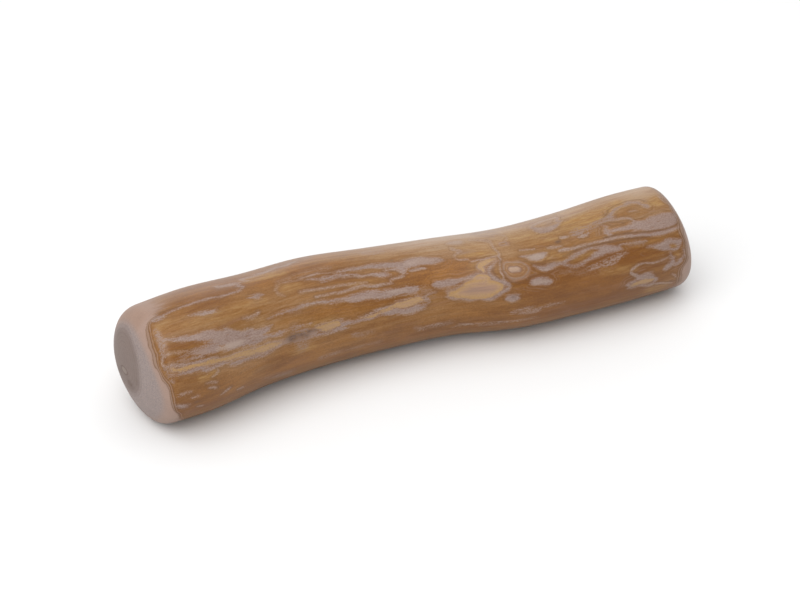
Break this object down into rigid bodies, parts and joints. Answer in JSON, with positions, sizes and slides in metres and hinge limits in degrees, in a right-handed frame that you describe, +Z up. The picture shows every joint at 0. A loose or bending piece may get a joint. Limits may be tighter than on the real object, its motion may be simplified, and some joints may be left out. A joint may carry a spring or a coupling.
{
  "type": "coffee wood chew stick",
  "caption": "Smooth length of peeled coffee wood branch for a dog to chew: a gently S-curved round stick with domed ends, lying on its side.",
  "frame": {"origin": "on the surface that the stick lies on, under the middle of its box", "axes": "+X along the stick towards its thinner end, +Z up, -Y is the side that the picture shows"},
  "size_m": [0.182, 0.0422, 0.0363],
  "materials": {
    "coffee_wood": "tumbled smooth with a soft dull polish; golden brown with grey-mauve and tan figure"
  },
  "bodies": {
    "root": {"coffee_wood_stick": "coffee_wood"}
  },
  "joints": []
}
